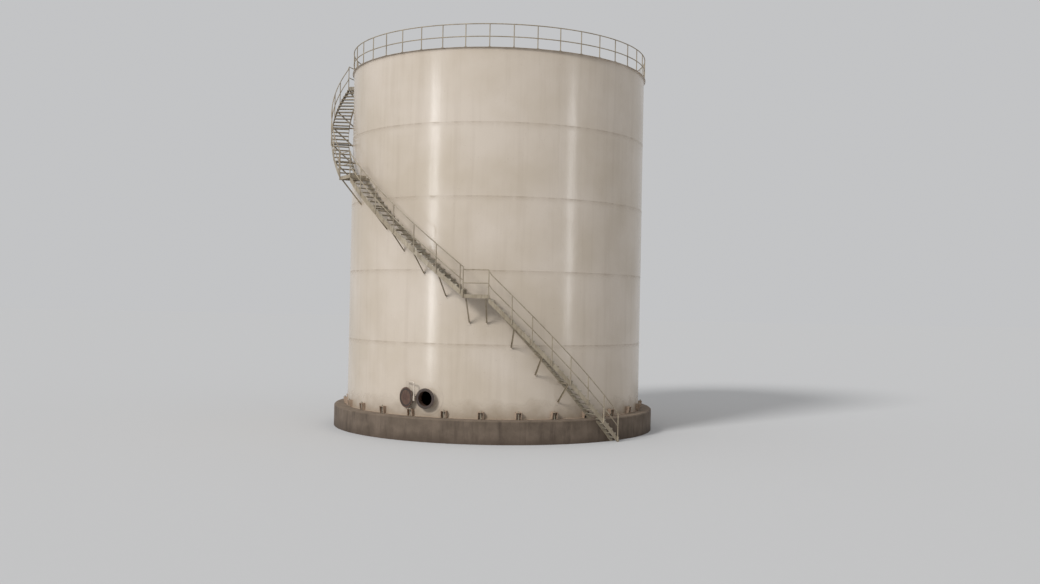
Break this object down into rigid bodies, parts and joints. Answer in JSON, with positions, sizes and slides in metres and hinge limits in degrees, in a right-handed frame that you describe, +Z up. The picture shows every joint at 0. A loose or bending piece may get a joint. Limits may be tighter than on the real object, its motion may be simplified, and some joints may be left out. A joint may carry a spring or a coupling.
{
  "type": "vertical storage tank",
  "caption": "Upright cylindrical steel storage tank on a round concrete base, with a stair climbing round its wall to a railed cone roof and an open manway on a davit.",
  "frame": {"origin": "on the tank's upright axis, at the underside of the concrete base", "axes": "+Z up along the tank's axis, -Y out through the manway, +X to the right of somebody who faces the manway"},
  "size_m": [14.9953, 14.9943, 17.5422],
  "materials": {
    "shell_paint": "satin",
    "roof_paint": "satin",
    "concrete": "matte",
    "primer": "matte",
    "stair_paint": "satin"
  },
  "bodies": {
    "tank": {"shell_course_1_plate_1": "shell_paint", "shell_course_1_plate_2": "shell_paint", "shell_course_1_plate_3": "shell_paint", "shell_course_1_plate_4": "shell_paint", "shell_course_2_plate_1": "shell_paint", "shell_course_2_plate_2": "shell_paint", "shell_course_2_plate_3": "shell_paint", "shell_course_2_plate_4": "shell_paint", "shell_course_3_plate_1": "shell_paint", "shell_course_3_plate_2": "shell_paint", "shell_course_3_plate_3": "shell_paint", "shell_course_3_plate_4": "shell_paint", "shell_course_4_plate_1": "shell_paint", "shell_course_4_plate_2": "shell_paint", "shell_course_4_plate_3": "shell_paint", "shell_course_4_plate_4": "shell_paint", "shell_course_5_plate_1": "shell_paint", "shell_course_5_plate_2": "shell_paint", "shell_course_5_plate_3": "shell_paint", "shell_course_5_plate_4": "shell_paint", "curb_angle": "shell_paint", "manway_collar_plate": "shell_paint", "manway_neck": "shell_paint", "davit_socket": "shell_paint", "shell_manway_insert": "shell_paint", "roof": "roof_paint", "centre_vent": "roof_paint", "roof_hatch_neck": "roof_paint", "roof_hatch_cover": "roof_paint", "foundation": "concrete", "bottom_plate": "primer", "stair_flight_1": "stair_paint", "stair_flight_2": "stair_paint", "stair_flight_3": "stair_paint", "stair_landing_1": "stair_paint", "stair_landing_2": "stair_paint", "stair_landing_3": "stair_paint", "stair_handrail_1": "stair_paint", "stair_handrail_2": "stair_paint", "stair_handrail_3": "stair_paint", "roof_railing_1": "stair_paint", "roof_railing_2": "stair_paint", "roof_railing_3": "stair_paint", "roof_railing_4": "stair_paint", "roof_railing_5": "stair_paint"},
    "manway_door": {"davit_arm": "shell_paint", "manway_cover": "primer"}
  },
  "joints": [
    {"name": "davit_swing", "type": "hinge", "parent": "tank", "child": "manway_door", "pos_m": [-0.49, -6.984, 1.7], "axis": [0, 0, 1], "range_deg": [0, 204]}
  ]
}
